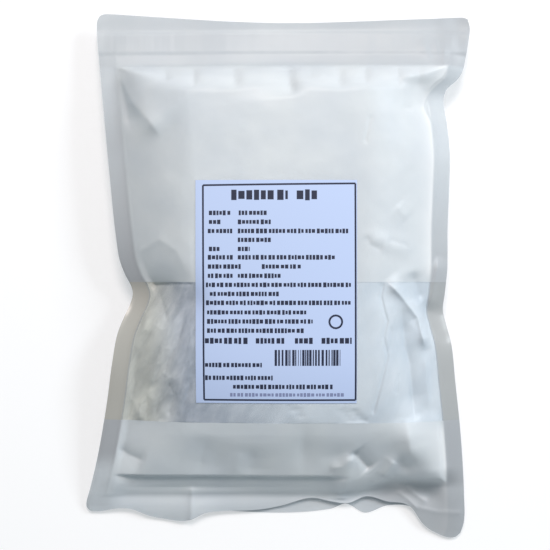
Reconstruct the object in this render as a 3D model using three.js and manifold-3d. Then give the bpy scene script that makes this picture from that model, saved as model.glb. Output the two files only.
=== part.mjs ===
// A bag of tapioca starch: a stand-up pouch of frosted film, with a press-to-close zip in its header
// and a paper label on its front, lying on its back. Millimetres, +Z up. The origin is on the
// surface the bag lies on, under the middle of the bag, and +Y points to the bag's top.
//
// The pouch is described by two coordinates on the flat bag: u runs from the left edge (0) to the
// right edge (1), and v from the bottom edge (0) to the top edge (1).

import * as THREE from 'three';
import { mergeVertices } from 'three/addons/utils/BufferGeometryUtils.js';
import Module from 'manifold-3d';

const { lerp, clamp } = THREE.MathUtils;

// ---- Driving dimensions: the outline ----

const DRAWN_MIDDLE = [-1.05, -1.4]; // middle of the bag on the axes that its points are drawn on

// The four edges as the bag lies, each point [x, y, height above the table]. The sides bow in where
// the filling draws the film together, and are nicked where a side seal has buckled.
const BOTTOM_LEFT = [-114.3, -137.6, 2];
const BOTTOM_RIGHT = [108.2, -153.4, 2];
const TOP_LEFT = [-104.9, 152.3, 13];
const TOP_RIGHT = [111.0, 150.2, 13];
const LEFT_EDGE = [
  BOTTOM_LEFT, [-114.2, -135.2, 3], [-111.5, -126.0, 6], [-106.9, -108.8, 11], [-100.4, -75.2, 17],
  [-96.8, -50.5, 20], [-93.9, -34.2, 19], [-90.0, -23.8, 17], [-86.9, -16.8, 15], [-85.5, -11.0, 14],
  [-86.4, -6.3, 14], [-89.8, 0.7, 16], [-92.7, 9.0, 18], [-94.6, 22.0, 20], [-98.0, 55.4, 21],
  [-101.4, 90.4, 20], [-105.1, 126.0, 15], [-106.6, 143.0, 13], [-106.4, 149.4, 13], TOP_LEFT,
];
const RIGHT_EDGE = [
  BOTTOM_RIGHT, [110.0, -146.7, 4], [109.6, -130.0, 8], [108.4, -112.3, 11], [105.9, -87.1, 16],
  [102.9, -62.2, 19], [100.4, -39.0, 19], [98.2, -29.7, 16], [96.3, -20.5, 14], [97.2, -9.5, 16],
  [98.3, 4.0, 18], [98.3, 27.5, 20], [99.1, 51.9, 21], [99.5, 70.0, 21], [98.2, 88.0, 18],
  [96.6, 100.3, 15], [96.8, 105.2, 15], [98.9, 109.6, 16], [104.3, 114.2, 16], [107.4, 119.0, 16],
  [109.2, 126.1, 15], [111.3, 137.5, 14], [112.3, 145.0, 13], TOP_RIGHT,
];
const TOP_EDGE = [
  TOP_LEFT, [-102.5, 153.2, 13], [-98.0, 153.2, 13], [-81.3, 152.0, 14], [-57.7, 150.3, 15],
  [-34.2, 148.5, 17], [-10.9, 147.4, 18], [12.5, 147.2, 18], [35.8, 147.7, 18], [70.9, 149.2, 17],
  [94.6, 150.4, 15], [104.7, 151.2, 13], [108.9, 151.1, 13], TOP_RIGHT,
];
const BOTTOM_EDGE = [
  BOTTOM_LEFT, [-112.6, -139.8, 2], [-109.0, -140.5, 2], [-94.4, -138.5, 4], [-87.0, -139.0, 4],
  [-78.0, -142.6, 3], [-66.0, -145.3, 2], [-57.0, -146.1, 3], [-51.4, -144.9, 4], [-44.0, -141.3, 5],
  [-37.0, -140.4, 4], [-11.6, -139.3, 3], [0.9, -137.2, 3], [19.8, -132.2, 6], [31.1, -134.3, 5],
  [41.2, -135.2, 6], [52.3, -131.3, 7], [64.3, -134.3, 5], [78.7, -137.8, 4], [85.9, -147.7, 3],
  [92.0, -152.4, 2], [105.1, -155.8, 2], BOTTOM_RIGHT,
];

// ---- Driving dimensions: seals, zip and filling ----

const SIDE_SEAL = 10; // width of the welded strip down each side
const FILM_STACK = 1.0; // the two walls where they lie together, with the air between them
const HEADER_LINE_Y = 121.8; // the powder ends here, below the zip
const FLANGE_LINE_Y = -129.8; // foot of the filled pillow, where the bottom flange begins
const SEAM_RISE = 6; // the seam stands this much above the drooping outer edge
const WAVE_FADE = { top: 3, bottom: 10 }; // powers by which the end edges' waves die out up the bag

const ZIP = { y: 135.7, width: 9.4, thickness: 1.2, gap: 0.35, wall: 0.6, shoulder: 2, inset: 1.5 };

// Height of the filled front along the bag, [y, height], and how far it falls away to the sides.
const BELLY = [
  [-130, 24], [-105, 34.5], [-87, 39.5], [-72, 42.4], [-55, 44.8], [-35, 46], [90, 46], [125, 44],
];
const CROWN = { x: 5, fall: 7, halfWidth: 95 };

// How the front swells from each seam: full at the given distance, and steepest at the seam.
const SWELL = {
  left: { reach: 42, power: 1.8 },
  right: { reach: 40, power: 2 },
  top: { reach: 18, power: 2.2 },
  bottom: { reach: 34, power: 1.7 },
};
const CORNER_POWER = 5; // how sharply two of those slopes meet
// How the underside rounds up to the seams from the flat patch that the bag lies on.
const UNDERSIDE = { left: 22, right: 20, top: 26 };
const UNDER_CORNER_POWER = 3;

// The pillow hangs over its own foot along a crease, and drops to a lower shelf below it.
const CREASE = { y: -117.5, left: -96, right: 40, fade: 8, drop: 5, width: 3 };

// Puckers in the film below the header, each a valley: [x at the header line, tip's x, tip's y].
const PUCKERS = {
  lines: [
    [-67, -63, 110], [-50, -48, 108], [-26, -24, 106], [5, 8, 102], [36, 35, 106], [51, 49, 110],
    [69, 70, 108], [82, 80, 104],
  ],
  sink: 2,
  reach: 3.5,
};

// Larger folds of the filled film: a ridge lifts it and a valley sinks it along a line.
const FOLDS = [
  { from: [-95, 120], to: [-68, 79], lift: 3, reach: 5 }, // ridge in from the top left corner
  { from: [-91, 104], to: [-84, 83], lift: -3, reach: 7 }, // hollow under that ridge
  { from: [-78, -75], to: [-42, -98], lift: -3, reach: 30 }, // slack towards the lower left
  { from: [95, 119], to: [85, 96], lift: 4, reach: 4.5 }, // ridge in from the top right corner
  { from: [97, 101], to: [80, 97], lift: -4, reach: 4 }, // buckle of the upper right seal
  { from: [-86, -10], to: [-64, 6], lift: -5, reach: 8 }, // buckle of the left seal
  { from: [97, -20], to: [85, -3], lift: -4, reach: 5 }, // buckle of the lower right seal
  { from: [65, -4], to: [87, -32], lift: 3, reach: 4 }, // ridge below that buckle
  { from: [70, -20], to: [80, -82], lift: -2.5, reach: 5 }, // valley beside that ridge
  { from: [54, 20], to: [70, 16], lift: 2, reach: 5 }, // soft fold beside the label
  { from: [42, -101], to: [51, -110], lift: -4, reach: 5 }, // dips above the foot
  { from: [75, -103], to: [82, -114], lift: -4, reach: 5 },
  { from: [36, -130], to: [43, -100], lift: 3, reach: 4 }, // ridges above the foot
  { from: [61, -118], to: [69, -102], lift: 3, reach: 4 },
];
const SEAM_CLEAR = 6; // creases and folds fade out over this distance from the seams

// The back wall's own flange, flat on the table under the front one, and the gusset between them.
const BACK_FLANGE = {
  left: -112, right: 107, thickness: 0.9, rootInset: 2, gussetBulge: 2.5,
  line: [
    [-112, -136.8], [-58.8, -139.0], [31.3, -139.2], [40.2, -136.2], [51.0, -141.5],
    [64.8, -137.2], [80.3, -139.0], [92.0, -150.0], [107.0, -152.5],
  ],
};

const LABEL = { x: -1.4, y: -9.4, width: 91, height: 126, thickness: 0.4, gap: 0.4 };

// ---- Grid of each surface ----

const BELLY_CELLS = [38, 40]; // across and along the filled part
const SEAL_CELLS = 2;
const FLANGE_CELLS = 3;
const GUSSET_CELLS = 3;
const CROWDING = 0.3; // how much the filled part's grid lines crowd towards the seams
const SETTLE_PASSES = 6; // passes to find the sheet's two coordinates together

// ---- Curves ----

// Smooth curve through points given by one coordinate; returns the rest of each point.
function curveThrough(points, axis = 0) {
  const rest = points.map((point) => point.filter((_, index) => index !== axis));
  const places = points.map((point) => point[axis]);
  const curve = new THREE.CubicInterpolant(places, rest.flat(), rest[0].length);
  return (at) => [...curve.evaluate(at)];
}

const leftEdge = curveThrough(LEFT_EDGE, 1);
const rightEdge = curveThrough(RIGHT_EDGE, 1);
const topEdge = curveThrough(TOP_EDGE);
const bottomEdge = curveThrough(BOTTOM_EDGE);
const bellyHeight = curveThrough(BELLY);
const backFlangeLine = curveThrough(BACK_FLANGE.line);

const step = (t) => {
  const s = clamp(t, 0, 1);
  return s * s * (3 - 2 * s);
};

// Height of a quarter circle of radius 1 over t from its foot, and 1 beyond it.
const quarterRound = (t) => Math.sqrt(1 - (1 - clamp(t, 0, 1)) ** 2);

// Smooth lowest of several shares from 0 to 1: it is 1 only where all of them are.
function softLowest(shares, power) {
  const sum = shares.reduce((total, share) => total + share ** -power, 0);
  return (sum - shares.length + 1) ** (-1 / power);
}

// ---- The sheet: plan, seam and walls ----

// The spans of the sheet at u and v: its edges there, with their heights.
function spans(u, v) {
  const [xLeft, zLeft] = leftEdge(lerp(BOTTOM_LEFT[1], TOP_LEFT[1], v));
  const [xRight, zRight] = rightEdge(lerp(BOTTOM_RIGHT[1], TOP_RIGHT[1], v));
  const [yBottom, zBottom] = bottomEdge(lerp(BOTTOM_LEFT[0], BOTTOM_RIGHT[0], u));
  const [yTop, zTop] = topEdge(lerp(TOP_LEFT[0], TOP_RIGHT[0], u));
  return { xLeft, xRight, yBottom, yTop, zLeft, zRight, zBottom, zTop };
}

// The point of the sheet at u and v, seen from above, with its distance in from each seam and the
// height of the seam there.
function sheetPoint(u, v) {
  const edge = spans(u, v);
  const width = edge.xRight - edge.xLeft;
  const length = edge.yTop - edge.yBottom;
  const x = edge.xLeft + u * width;
  const y = edge.yBottom + v * length;

  // The outer edges' heights carried across the sheet; the end edges' waves soon die out.
  const topWave = edge.zTop - lerp(TOP_LEFT[2], TOP_RIGHT[2], u);
  const bottomWave = edge.zBottom - lerp(BOTTOM_LEFT[2], BOTTOM_RIGHT[2], u);
  const waves = topWave * v ** WAVE_FADE.top + bottomWave * (1 - v) ** WAVE_FADE.bottom;
  const edgeHeight = lerp(edge.zLeft, edge.zRight, u) + waves;

  const overSide = clamp(Math.min(u, 1 - u) * width / SIDE_SEAL, 0, 1);
  const overHeader = clamp((edge.yTop - y) / (edge.yTop - HEADER_LINE_Y), 0, 1);
  const overFlange = clamp((y - edge.yBottom) / (FLANGE_LINE_Y - edge.yBottom), 0, 1);
  const seam = edgeHeight + SEAM_RISE * overSide * overHeader ** 2 * overFlange ** 2;

  const inside = {
    left: u * width - SIDE_SEAL,
    right: (1 - u) * width - SIDE_SEAL,
    top: HEADER_LINE_Y - y,
    bottom: y - FLANGE_LINE_Y,
  };
  return { x, y, seam, inside };
}

const SIDES = Object.keys(SWELL);

// Share of the full height at a distance from a seam.
const swell = (distance, { reach, power }) => 1 - (1 - clamp(distance / reach, 0, 1)) ** power;

function distanceToLine(x, y, [x0, y0], [x1, y1]) {
  const along = ((x - x0) * (x1 - x0) + (y - y0) * (y1 - y0)) / ((x1 - x0) ** 2 + (y1 - y0) ** 2);
  const t = clamp(along, 0, 1);
  return Math.hypot(x - lerp(x0, x1, t), y - lerp(y0, y1, t));
}

const foldLift = (x, y, { from, to, lift, reach }) =>
  lift * Math.exp(-((distanceToLine(x, y, from, to) / reach) ** 2));

const PUCKER_FOLDS = PUCKERS.lines.map(([x, tipX, tipY]) => ({
  from: [x, HEADER_LINE_Y], to: [tipX, tipY], lift: -PUCKERS.sink, reach: PUCKERS.reach,
}));

function creaseDrop(x, y) {
  const within = step((x - CREASE.left) / CREASE.fade) * step((CREASE.right - x) / CREASE.fade);
  const share = clamp((y - FLANGE_LINE_Y) / (CREASE.y - FLANGE_LINE_Y), 0, 1);
  return CREASE.drop * within * share * step((CREASE.y - y) / CREASE.width + 0.5);
}

// Half of the pouch's thickness where its walls lie together: more over the zip.
function halfStack(y) {
  const overZip = step((ZIP.width / 2 + ZIP.shoulder - Math.abs(y - ZIP.y)) / ZIP.shoulder);
  const zipHalf = ZIP.thickness / 2 + ZIP.gap + ZIP.wall;
  return lerp(FILM_STACK / 2, zipHalf, overZip);
}

function frontHeight({ x, y, seam, inside }) {
  const full = softLowest(SIDES.map((side) => swell(inside[side], SWELL[side])), CORNER_POWER);
  const belly = bellyHeight(y)[0] - CROWN.fall * ((x - CROWN.x) / CROWN.halfWidth) ** 2;
  const clear = step(Math.min(...SIDES.map((side) => inside[side])) / SEAM_CLEAR);
  const folds = [...FOLDS, ...PUCKER_FOLDS].reduce((sum, fold) => sum + foldLift(x, y, fold), 0);
  return seam + halfStack(y) + (belly - seam) * full + clear * (folds - creaseDrop(x, y));
}

const seamUnderside = ({ y, seam }) => seam - halfStack(y);

function backHeight(place) {
  const rounds = Object.entries(UNDERSIDE).map(([side, radius]) =>
    quarterRound(Math.max(place.inside[side], 0) / radius));
  return seamUnderside(place) * (1 - softLowest(rounds, UNDER_CORNER_POWER));
}

// ---- Closed solids from rings of points ----

// A closed solid through one ring of points for each column. Each end is closed by strips of quads
// between pairs of ring points that face each other across the solid's thickness.
function loft(rings, strips) {
  const size = rings[0].length;
  const index = [];
  const triangle = (a, b, c) => {
    if (a !== b && b !== c && c !== a) index.push(a, b, c);
  };
  const quad = (a, b, c, d) => {
    triangle(a, b, c);
    triangle(a, c, d);
  };
  for (let start = 0; start < (rings.length - 1) * size; start += size) {
    for (let k = 0; k < size; k += 1) {
      const next = (k + 1) % size;
      quad(start + k, start + size + k, start + size + next, start + next);
    }
  }
  const last = (rings.length - 1) * size;
  for (const strip of strips) {
    for (let k = 0; k + 1 < strip.length; k += 1) {
      const [[top, low], [nextTop, nextLow]] = [strip[k], strip[k + 1]];
      quad(top, nextTop, nextLow, low);
      quad(last + low, last + nextLow, last + nextTop, last + top);
    }
  }
  const geometry = new THREE.BufferGeometry();
  geometry.setAttribute('position', new THREE.Float32BufferAttribute(rings.flat(2), 3));
  geometry.setIndex(index);
  return geometry;
}

// A closed slab over a grid of cells: point(i, j) gives { x, y, low, high } at each grid line.
function slab(columns, rows, point) {
  const counting = (count) => Array.from({ length: count }, (_, k) => k);
  const rings = counting(columns + 1).map((i) => {
    const places = counting(rows + 1).map((j) => point(i, j));
    const tops = places.map(({ x, y, high }) => [x, y, high]);
    const lows = places.map(({ x, y, low }) => [x, y, low]);
    return [...tops, ...lows.reverse()];
  });
  return loft(rings, [counting(rows + 1).map((j) => [j, 2 * rows + 1 - j])]);
}

// Grid lines of a sheet in three panels, as a place from 0 to 3: the outer panels run evenly, and
// the middle one is crowded towards its ends.
function panelLines(first, middle, last) {
  const even = (cells, start) => Array.from({ length: cells }, (_, k) => start + k / cells);
  const crowd = (t) => t - CROWDING * Math.sin(2 * Math.PI * t) / (2 * Math.PI);
  return [...even(first, 0), ...even(middle, 0).map((t) => 1 + crowd(t)), ...even(last, 2), 3];
}

// A place from 0 to 3 on three panels that meet at shares a and b of the whole.
const onPanels = (place, a, b) =>
  (place < 1 ? a * place : place < 2 ? lerp(a, b, place - 1) : lerp(b, 1, place - 2));

// u and v found together by a few passes, since each one's spans depend on the other.
function settle(uFrom, vFrom) {
  let u = 0.5;
  let v = 0.5;
  for (let pass = 0; pass < SETTLE_PASSES; pass += 1) {
    u = uFrom(spans(u, v));
    v = vFrom(spans(u, v));
  }
  return sheetPoint(u, v);
}

// ---- The pouch ----

// The rows up the pouch: the flange, the filled part, the header's lines beside the zip, the top.
function rowPlaces() {
  const upToHeader = panelLines(FLANGE_CELLS, BELLY_CELLS[1], 1).slice(0, -1);
  const zipEdge = ZIP.width / 2;
  const zipLines = [-zipEdge - ZIP.shoulder, -zipEdge, zipEdge, zipEdge + ZIP.shoulder];
  return [...upToHeader, ...zipLines.map((out) => ({ y: ZIP.y + out })), 3];
}

// The point where a column and a row of the pouch's grid cross.
function crossing(columnPlace, rowPlace) {
  const uAt = ({ xLeft, xRight }) => {
    const seal = SIDE_SEAL / (xRight - xLeft);
    return onPanels(columnPlace, seal, 1 - seal);
  };
  const vAt = ({ yBottom, yTop }) => {
    const share = (y) => (y - yBottom) / (yTop - yBottom);
    if (rowPlace.y !== undefined) return share(rowPlace.y);
    return onPanels(rowPlace, share(FLANGE_LINE_Y), share(HEADER_LINE_Y));
  };
  return settle(uAt, vAt);
}

// One section of the pouch, as a ring: up the front wall from the edge of its flange, down the back
// wall and out to the edge of its own flange, in over that flange, and up the gusset to the first
// one's underside. The strips pair the ring's points across the section.
function pouchSection(columnPlace, share) {
  const places = rowPlaces().map((rowPlace) => crossing(columnPlace, rowPlace));
  const rootRow = FLANGE_CELLS + GUSSET_CELLS;
  const root = places[rootRow];
  const front = places.map((place) => [place.x, place.y, frontHeight(place)]);
  const back = places.slice(rootRow + 1).map((place) => [place.x, place.y, backHeight(place)]);
  const flangePlaces = places.slice(0, FLANGE_CELLS + 1);
  const underFlange = flangePlaces.map((place) => [place.x, place.y, seamUnderside(place)]);

  const edgeX = lerp(BACK_FLANGE.left, BACK_FLANGE.right, share);
  const edgeY = backFlangeLine(edgeX)[0];
  const flangeTop = [];
  const flangeLow = [];
  for (let k = 0; k <= FLANGE_CELLS; k += 1) {
    const t = k / FLANGE_CELLS;
    const x = lerp(edgeX, root.x, t);
    flangeTop.push([x, lerp(edgeY, root.y - BACK_FLANGE.rootInset, t), BACK_FLANGE.thickness]);
    flangeLow.push([x, lerp(edgeY, root.y, t), 0]);
  }
  const gussetTop = underFlange.at(-1);
  const gussetFoot = flangeTop.at(-1);
  const gusset = [];
  for (let k = 1; k < GUSSET_CELLS; k += 1) {
    const t = k / GUSSET_CELLS;
    const point = gussetTop.map((value, axis) => lerp(value, gussetFoot[axis], t));
    point[1] -= BACK_FLANGE.gussetBulge * Math.sin(Math.PI * t);
    gusset.push(point);
  }

  const ring = [];
  const add = (points) => points.map((point) => ring.push(point) - 1);
  const frontAt = add(front);
  const backAt = add(back.reverse()).reverse();
  const lowAt = add(flangeLow.reverse()).reverse();
  const topAt = add(flangeTop);
  const gussetAt = add(gusset.reverse()).reverse();
  const underAt = add(underFlange.reverse()).reverse();
  const facing = [...underAt, ...gussetAt, topAt.at(-1)];
  const strips = [
    [...facing.map((k, row) => [frontAt[row], k]), [frontAt[rootRow], lowAt.at(-1)],
      ...backAt.map((k, row) => [frontAt[rootRow + 1 + row], k])],
    topAt.map((k, row) => [k, lowAt[row]]),
  ];
  return { ring, strips };
}

function pouchBody() {
  const across = panelLines(SEAL_CELLS, BELLY_CELLS[0], SEAL_CELLS);
  const seal = SIDE_SEAL / (BACK_FLANGE.right - BACK_FLANGE.left);
  const sections = across.map((place) => pouchSection(place, onPanels(place, seal, 1 - seal)));
  return loft(sections.map(({ ring }) => ring), sections[0].strips);
}

// A bar along the header at the zip's height, which reaches past the side edges (or stops short).
function zipBar(reach, halfWidth, halfThickness) {
  const across = panelLines(SEAL_CELLS, BELLY_CELLS[0] / 2, SEAL_CELLS);
  const lastColumn = across.length - 1;
  const pastEdge = { 0: -reach, [lastColumn]: reach };
  return slab(lastColumn, 2, (i, j) => {
    const y = ZIP.y + (j - 1) * halfWidth;
    const { x, seam } = settle(
      ({ xLeft, xRight }) => {
        const width = xRight - xLeft;
        const seal = SIDE_SEAL / width;
        return onPanels(across[i], seal, 1 - seal) + (pastEdge[i] ?? 0) / width;
      },
      ({ yBottom, yTop }) => (y - yBottom) / (yTop - yBottom),
    );
    return { x, y, low: seam - halfThickness, high: seam + halfThickness };
  });
}

const zipStrip = () => zipBar(-ZIP.inset, ZIP.width / 2, ZIP.thickness / 2);

// The room that the zip lies in between the walls, open at both ends.
const zipRoom = () => zipBar(ZIP.inset, ZIP.width / 2 + ZIP.gap, ZIP.thickness / 2 + ZIP.gap);

// ---- The label ----

// A sheet of paper that follows the film under it.
function label() {
  const cells = [12, 16];
  return slab(...cells, (i, j) => {
    const x = LABEL.x + (i / cells[0] - 0.5) * LABEL.width;
    const y = LABEL.y + (j / cells[1] - 0.5) * LABEL.height;
    const film = frontHeight(settle(
      ({ xLeft, xRight }) => (x - xLeft) / (xRight - xLeft),
      ({ yBottom, yTop }) => (y - yBottom) / (yTop - yBottom),
    ));
    return { x, y, low: film + LABEL.gap, high: film + LABEL.gap + LABEL.thickness };
  });
}

// ---- Assembly ----

const wasm = await Module();
wasm.setup();

function toManifold(geometry) {
  const merged = mergeVertices(geometry);
  return new wasm.Manifold(new wasm.Mesh({
    numProp: 3,
    vertProperties: new Float32Array(merged.attributes.position.array),
    triVerts: new Uint32Array(merged.index.array),
  }));
}

function toGeometry(manifold) {
  const { vertProperties, triVerts } = manifold.getMesh();
  const geometry = new THREE.BufferGeometry();
  geometry.setAttribute('position', new THREE.BufferAttribute(vertProperties, 3));
  geometry.setIndex(new THREE.BufferAttribute(triVerts, 1));
  geometry.computeVertexNormals();
  return geometry;
}

function addMesh(group, name, geometry, color, roughness) {
  const material = new THREE.MeshStandardMaterial({ color, roughness, metalness: 0 });
  const mesh = new THREE.Mesh(geometry, material);
  mesh.name = name;
  group.add(mesh);
}

const pouch = toManifold(pouchBody()).subtract(toManifold(zipRoom()));

const group = new THREE.Group();
group.position.set(-DRAWN_MIDDLE[0], -DRAWN_MIDDLE[1], 0);
addMesh(group, 'pouch', toGeometry(pouch), 0xd7dfe4, 0.5);
addMesh(group, 'zip_strip', zipStrip(), 0xe4eaee, 0.4);
addMesh(group, 'label', label(), 0xcbd8f4, 0.6);

export default group;
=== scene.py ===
"""A bag of tapioca starch: a frosted stand-up pouch with a press-to-close zip and a paper label.

It lies on its back, filled with white powder, and the camera looks straight down on it. All lengths
here are millimetres until a mesh is made. The flat bag has two coordinates: u runs from its left edge
(0) to its right edge (1), and v from its bottom edge (0) to its top edge (1).
"""

import math
from types import SimpleNamespace

import bpy
import numpy as np
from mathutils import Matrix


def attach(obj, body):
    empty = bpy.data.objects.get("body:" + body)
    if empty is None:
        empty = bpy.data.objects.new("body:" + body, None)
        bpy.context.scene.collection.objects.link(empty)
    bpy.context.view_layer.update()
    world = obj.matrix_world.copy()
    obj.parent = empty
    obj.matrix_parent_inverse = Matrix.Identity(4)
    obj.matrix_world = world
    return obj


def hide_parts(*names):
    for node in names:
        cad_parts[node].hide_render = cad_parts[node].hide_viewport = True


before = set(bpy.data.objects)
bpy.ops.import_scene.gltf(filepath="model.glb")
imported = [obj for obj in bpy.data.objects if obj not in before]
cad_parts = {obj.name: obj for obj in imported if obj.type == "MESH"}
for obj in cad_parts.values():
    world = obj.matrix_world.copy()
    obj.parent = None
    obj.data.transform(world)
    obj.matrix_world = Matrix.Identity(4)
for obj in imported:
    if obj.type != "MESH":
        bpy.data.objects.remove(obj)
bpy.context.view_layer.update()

MM = 0.001

# ---- The outline: points [x, y, height above the table] on the four edges ----

# Middle of the bag on the axes that its points are drawn on; the frame's origin is there.
DRAWN_MIDDLE = (-1.05, -1.4)
BOTTOM_LEFT = (-114.3, -137.6, 2)
BOTTOM_RIGHT = (108.2, -153.4, 2)
TOP_LEFT = (-104.9, 152.3, 13)
TOP_RIGHT = (111.0, 150.2, 13)
LEFT_EDGE = [
    BOTTOM_LEFT, (-114.2, -135.2, 3), (-111.5, -126.0, 6), (-106.9, -108.8, 11), (-100.4, -75.2, 17),
    (-96.8, -50.5, 20), (-93.9, -34.2, 19), (-90.0, -23.8, 17), (-86.9, -16.8, 15), (-85.5, -11.0, 14),
    (-86.4, -6.3, 14), (-89.8, 0.7, 16), (-92.7, 9.0, 18), (-94.6, 22.0, 20), (-98.0, 55.4, 21),
    (-101.4, 90.4, 20), (-105.1, 126.0, 15), (-106.6, 143.0, 13), (-106.4, 149.4, 13), TOP_LEFT,
]
RIGHT_EDGE = [
    BOTTOM_RIGHT, (110.0, -146.7, 4), (109.6, -130.0, 8), (108.4, -112.3, 11), (105.9, -87.1, 16),
    (102.9, -62.2, 19), (100.4, -39.0, 19), (98.2, -29.7, 16), (96.3, -20.5, 14), (97.2, -9.5, 16),
    (98.3, 4.0, 18), (98.3, 27.5, 20), (99.1, 51.9, 21), (99.5, 70.0, 21), (98.2, 88.0, 18),
    (96.6, 100.3, 15), (96.8, 105.2, 15), (98.9, 109.6, 16), (104.3, 114.2, 16), (107.4, 119.0, 16),
    (109.2, 126.1, 15), (111.3, 137.5, 14), (112.3, 145.0, 13), TOP_RIGHT,
]
TOP_EDGE = [
    TOP_LEFT, (-102.5, 153.2, 13), (-98.0, 153.2, 13), (-81.3, 152.0, 14), (-57.7, 150.3, 15),
    (-34.2, 148.5, 17), (-10.9, 147.4, 18), (12.5, 147.2, 18), (35.8, 147.7, 18), (70.9, 149.2, 17),
    (94.6, 150.4, 15), (104.7, 151.2, 13), (108.9, 151.1, 13), TOP_RIGHT,
]
BOTTOM_EDGE = [
    BOTTOM_LEFT, (-112.6, -139.8, 2), (-109.0, -140.5, 2), (-94.4, -138.5, 4), (-87.0, -139.0, 4),
    (-78.0, -142.6, 3), (-66.0, -145.3, 2), (-57.0, -146.1, 3), (-51.4, -144.9, 4), (-44.0, -141.3, 5),
    (-37.0, -140.4, 4), (-11.6, -139.3, 3), (0.9, -137.2, 3), (19.8, -132.2, 6), (31.1, -134.3, 5),
    (41.2, -135.2, 6), (52.3, -131.3, 7), (64.3, -134.3, 5), (78.7, -137.8, 4), (85.9, -147.7, 3),
    (92.0, -152.4, 2), (105.1, -155.8, 2), BOTTOM_RIGHT,
]
BACK_FLANGE_EDGE = [
    (-112, -136.8), (-58.8, -139.0), (31.3, -139.2), (40.2, -136.2), (51.0, -141.5), (64.8, -137.2),
    (80.3, -139.0), (92.0, -150.0), (107.0, -152.5),
]

# ---- Seals, zip, filling and folds ----

SIDE_SEAL = 10
HEADER_LINE_Y = 121.8
FLANGE_LINE_Y = -129.8
# The flange line stands this much further up the bag at the right.
FLANGE_LIFT = 7
# Where the right seal is wider or narrower: (height up the bag, by how much, reach).
PINCHES = [(97, 4.5, 5), (112, -2.8, 6)]
PINCH_FADE = 4
# Powers of the share across the bag, by which the waves of its top and bottom edges fade into it.
WAVE_POWER = SimpleNamespace(top=3, bottom=10)
# The seam stands above the edges by this, from a start beside the flange line on over a reach.
SEAM_RISE = SimpleNamespace(left=1.5, right=6, start=-3, reach=14)
# Along the flange line, the seam sinks by a share of its height over the lowest.
FLANGE_DIP = SimpleNamespace(share=0.6, lowest=1, reach=7, fade=14)
# How far the gusset's fold bulges, how soon it closes at its ends, its clearances, and its weld
# grey, which is partly painted shade.
GUSSET = SimpleNamespace(bulge=12, corner=0.02, under_seam=0.1, over_back=0.15, weld=0.25)
# The clear band's lower and upper edges.
WINDOW = (-84.3, -3.9)
# The zip: its middle line and band, the room that it has between the walls, and its two ends in u.
ZIP = SimpleNamespace(y=135.7, width=9.4, thickness=1.2, shoulder=3, room=0.1, ends=(0.014, 0.986))
# The zip's tape and ribs: half thicknesses, and where a rib stands as a share of the half width.
RIB = SimpleNamespace(tape=0.22, height=0.36, at=0.35, half_width=0.16, flank=0.08)

# Thickness of a wall, and half of that of two walls welded together.
FILM = 0.2
WELD = 0.3
POWDER_GAP = 0.08
THINNEST_POWDER = 0.02

# The filled front's height along the middle, as (height up the bag, height above the table), and how
# it falls to the sides.
BELLY = [(-130, 20), (-105, 31), (-87, 37.8), (-72, 42), (-55, 44.8), (-35, 46), (90, 46), (125, 44)]
CROWN = SimpleNamespace(x=5, fall=7, half_width=95)
# How the front swells in from each seam, (reach, power), and the radius of the back's round there.
SWELL = {"left": (42, 1.8), "right": (40, 2), "top": (18, 2.2), "bottom": (39, 1.65)}
UNDERSIDE = {"left": 22, "right": 20, "top": 26}
# How sharply the shares from the four seams meet at the corners.
CORNER_POWER = SimpleNamespace(front=5, back=3)
# The pillow hangs over its own foot along a crease, and drops to a lower shelf below it.
CREASE = SimpleNamespace(y=-117.5, left=-99, right=42, fade=14, drop=5, width=1.6)

LABEL = SimpleNamespace(x=-1.4, y=-9.4, width=91, height=126, gap=0.06, thickness=0.12)
INK = SimpleNamespace(gap=0.005, thickness=0.04)

# Round folds of the filled film: (path, lift, reach).
SOFT_FOLDS = [
    (((-93, 113), (-86, 92)), -3.4, 6.5),  # hollow under the ridge from the top left corner
    (((-78, -75), (-42, -98)), -3, 30),  # slack towards the lower left
    (((54, 20), (70, 16)), 1.2, 5),  # soft fold beside the label
    (((37, -128), (41, -108)), 1.6, 4),  # ridges above the foot
    (((61, -120), (66, -108)), 1.6, 4),
    (((-60, 60), (-62, 130)), -0.5, 9),
    (((86, -112), (88, -118)), 5, 16),  # fullness at the lower right
]

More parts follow.
